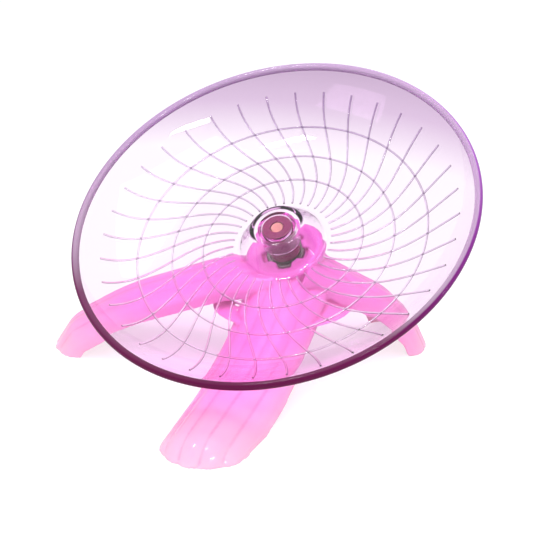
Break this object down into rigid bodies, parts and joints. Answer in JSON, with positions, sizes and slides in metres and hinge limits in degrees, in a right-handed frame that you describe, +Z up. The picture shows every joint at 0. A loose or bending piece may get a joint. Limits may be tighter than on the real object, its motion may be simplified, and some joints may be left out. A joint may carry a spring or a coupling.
{
  "type": "flying saucer hamster wheel",
  "caption": "Tilted clear ribbed running dish on a ball-bearing hub, carried by a leaning stand with fluted arched legs.",
  "frame": {"origin": "on the floor, under the middle of the whole outline", "axes": "+Z up, -Y towards the low side of the dish and the front leg, +X to the right seen from the front"},
  "size_m": [0.1966, 0.1722, 0.1245],
  "materials": {
    "clear_dish": "clear moulded polystyrene with a faint lilac tint, polished",
    "magenta_post": "translucent magenta moulded plastic, polished",
    "pink_stand": "translucent pink moulded plastic, glossy",
    "pin_steel": "turned steel",
    "bearing_steel": "ground bearing steel",
    "shield_steel": "pressed steel sheet",
    "cage_steel": "pressed steel strip",
    "ball_steel": "polished chrome steel"
  },
  "bodies": {
    "stand": {"stand": "pink_stand", "bearing_outer_ring": "bearing_steel", "bearing_shield_top": "shield_steel", "bearing_shield_bottom": "shield_steel"},
    "hub": {"hub_spindle": "magenta_post", "axle_pin": "pin_steel", "bearing_inner_ring": "bearing_steel", "thrust_washer": "pin_steel", "retaining_clip": "pin_steel"},
    "dish": {"saucer_dish": "clear_dish"},
    "cage": {"bearing_cage_upper": "cage_steel", "bearing_cage_lower": "cage_steel", "cage_rivets": "cage_steel"},
    "ball_1": {"bearing_ball_1": "ball_steel"},
    "ball_2": {"bearing_ball_2": "ball_steel"},
    "ball_3": {"bearing_ball_3": "ball_steel"},
    "ball_4": {"bearing_ball_4": "ball_steel"},
    "ball_5": {"bearing_ball_5": "ball_steel"},
    "ball_6": {"bearing_ball_6": "ball_steel"}
  },
  "joints": [
    {"name": "dish_spin", "type": "hinge", "parent": "stand", "child": "hub", "pos_m": [0.00828, 0.02697, 0.04968], "axis": [0, -0.5534, 0.8329], "continuous": true},
    {"name": "dish_lift", "type": "slide", "parent": "hub", "child": "dish", "axis": [0, -0.5534, 0.8329], "range_m": [0, 0.012]},
    {"name": "cage_orbit", "type": "hinge", "parent": "stand", "child": "cage", "pos_m": [0.00828, 0.02697, 0.04968], "axis": [0, -0.5534, 0.8329], "continuous": true},
    {"name": "ball_1_spin", "type": "hinge", "parent": "cage", "child": "ball_1", "pos_m": [0.01403, 0.02697, 0.04968], "axis": [0, -0.5534, 0.8329], "continuous": true},
    {"name": "ball_2_spin", "type": "hinge", "parent": "cage", "child": "ball_2", "pos_m": [0.01115, 0.03111, 0.05243], "axis": [0, -0.5534, 0.8329], "continuous": true},
    {"name": "ball_3_spin", "type": "hinge", "parent": "cage", "child": "ball_3", "pos_m": [0.0054, 0.03111, 0.05243], "axis": [0, -0.5534, 0.8329], "continuous": true},
    {"name": "ball_4_spin", "type": "hinge", "parent": "cage", "child": "ball_4", "pos_m": [0.00253, 0.02697, 0.04968], "axis": [0, -0.5534, 0.8329], "continuous": true},
    {"name": "ball_5_spin", "type": "hinge", "parent": "cage", "child": "ball_5", "pos_m": [0.0054, 0.02282, 0.04692], "axis": [0, -0.5534, 0.8329], "continuous": true},
    {"name": "ball_6_spin", "type": "hinge", "parent": "cage", "child": "ball_6", "pos_m": [0.01115, 0.02282, 0.04692], "axis": [0, -0.5534, 0.8329], "continuous": true}
  ],
  "couplings": [
    {"joint": "cage_orbit", "follows": "dish_spin", "ratio": 0.34783},
    {"joint": "ball_1_spin", "follows": "dish_spin", "ratio": -1.4907},
    {"joint": "ball_2_spin", "follows": "dish_spin", "ratio": -1.4907},
    {"joint": "ball_3_spin", "follows": "dish_spin", "ratio": -1.4907},
    {"joint": "ball_4_spin", "follows": "dish_spin", "ratio": -1.4907},
    {"joint": "ball_5_spin", "follows": "dish_spin", "ratio": -1.4907},
    {"joint": "ball_6_spin", "follows": "dish_spin", "ratio": -1.4907}
  ]
}
